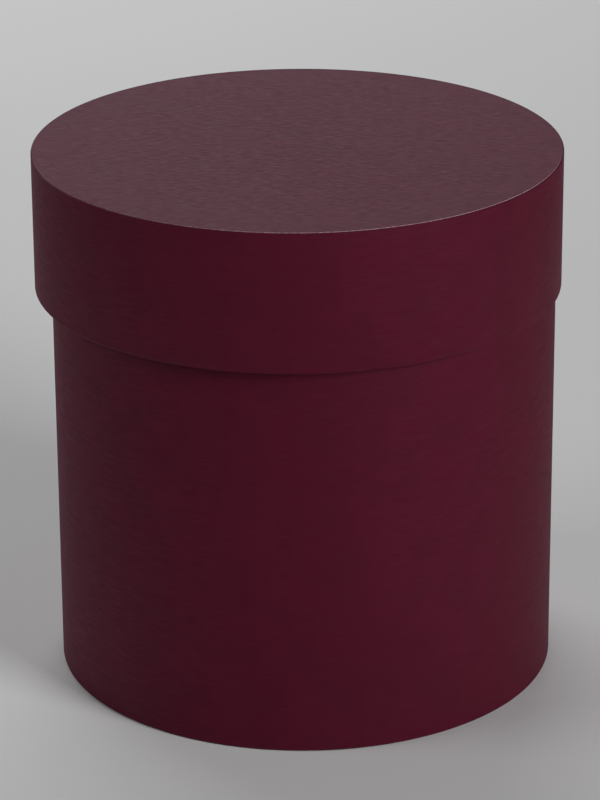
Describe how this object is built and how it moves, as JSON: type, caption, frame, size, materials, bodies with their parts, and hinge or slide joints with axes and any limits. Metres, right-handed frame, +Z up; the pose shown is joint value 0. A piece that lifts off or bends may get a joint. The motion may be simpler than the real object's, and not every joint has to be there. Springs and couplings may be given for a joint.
{
  "type": "round flower box",
  "caption": "Round rigid paperboard box with a straight wall and a lift-off telescoping lid, covered in burgundy paper and lined in white.",
  "frame": {"origin": "centre of the underside, on the surface that the box stands on", "axes": "+Z up along the axis of the body; the front is towards -Y, and both lap seams of the cover paper face +Y"},
  "size_m": [0.1567, 0.1566, 0.1611],
  "materials": {
    "cover_paper": "satin burgundy cover paper with a pale core",
    "lining_paper": "uncoated warm white paper",
    "greyboard": "grey recycled board",
    "gummed_tape": "brown kraft paper tape"
  },
  "bodies": {
    "box": {"body_board": "greyboard", "body_seam_tape": "gummed_tape", "base_board": "greyboard", "body_cover_paper": "cover_paper", "body_lining_paper": "lining_paper", "base_lining_paper": "lining_paper", "base_cover_paper": "cover_paper"},
    "lid": {"lid_rim_board": "greyboard", "lid_seam_tape": "gummed_tape", "lid_top_board": "greyboard", "lid_top_filler": "lining_paper", "lid_rim_cover_paper": "cover_paper", "lid_top_cover_paper": "cover_paper", "lid_rim_lining_paper": "lining_paper", "lid_top_lining_paper": "lining_paper"}
  },
  "joints": [
    {"name": "lid_lift", "type": "slide", "parent": "box", "child": "lid", "axis": [0, 0, 1], "range_m": [0, 0.2]}
  ]
}
